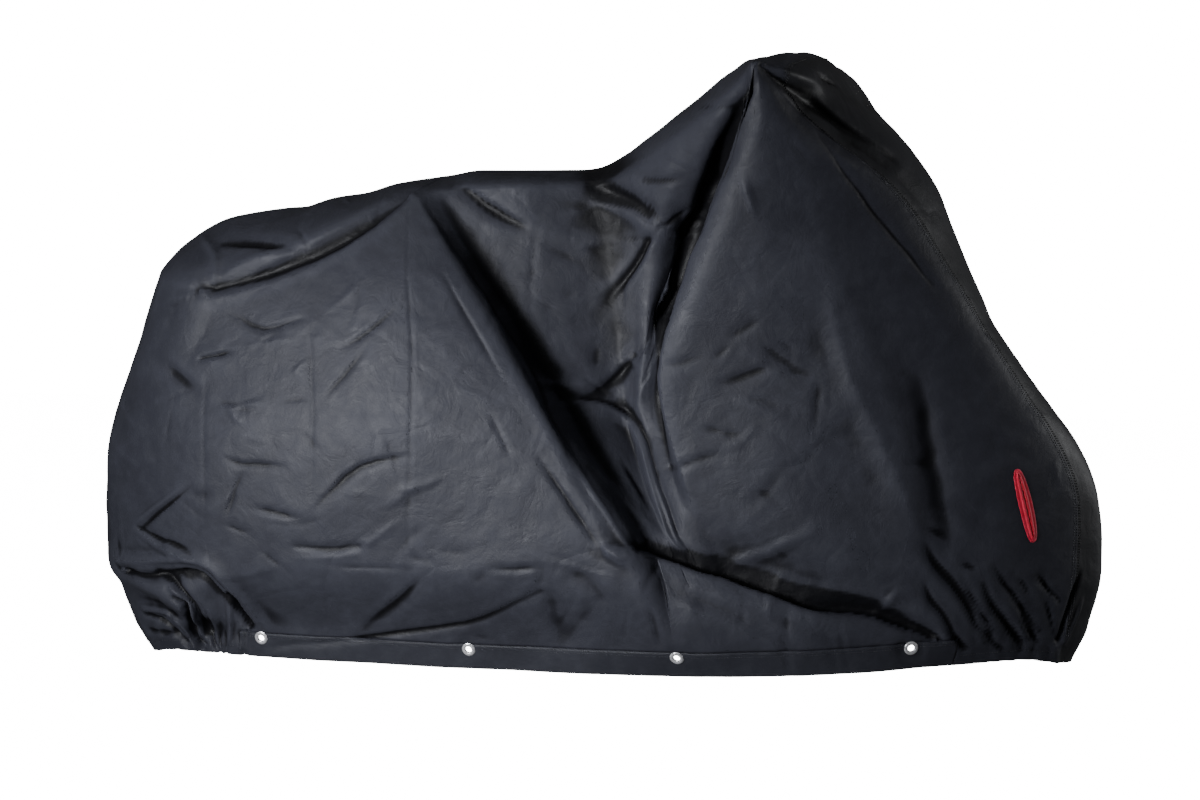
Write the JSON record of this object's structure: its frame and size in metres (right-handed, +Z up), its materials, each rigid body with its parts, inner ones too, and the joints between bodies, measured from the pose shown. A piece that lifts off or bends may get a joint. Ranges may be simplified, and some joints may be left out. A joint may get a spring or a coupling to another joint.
{
  "type": "bicycle cover",
  "caption": "Fitted black nylon cover in the shape in which it hangs over a bicycle, open along its hem, with eyelets and a red-bound lock slot on each side.",
  "frame": {"origin": "on the underside of the cloth where the saddle carries it, above the bicycle's frame", "axes": "+X to the front of the bicycle, +Y to its left, +Z up"},
  "size_m": [1.7646, 0.5646, 1.068],
  "materials": {
    "nylon": "semi-gloss coated nylon, creased",
    "hem": "double layer of the same nylon, stitched",
    "eyelet": "plated, polished",
    "binding": "satin red woven binding"
  },
  "bodies": {
    "root": {"nose_panel": "nylon", "right_side_panel": "nylon", "left_side_panel": "nylon", "right_hem_band": "hem", "left_hem_band": "hem", "right_eyelet_1": "eyelet", "right_eyelet_2": "eyelet", "right_eyelet_3": "eyelet", "right_eyelet_4": "eyelet", "left_eyelet_1": "eyelet", "left_eyelet_2": "eyelet", "left_eyelet_3": "eyelet", "left_eyelet_4": "eyelet", "right_lock_slot": "binding", "left_lock_slot": "binding"}
  },
  "joints": []
}
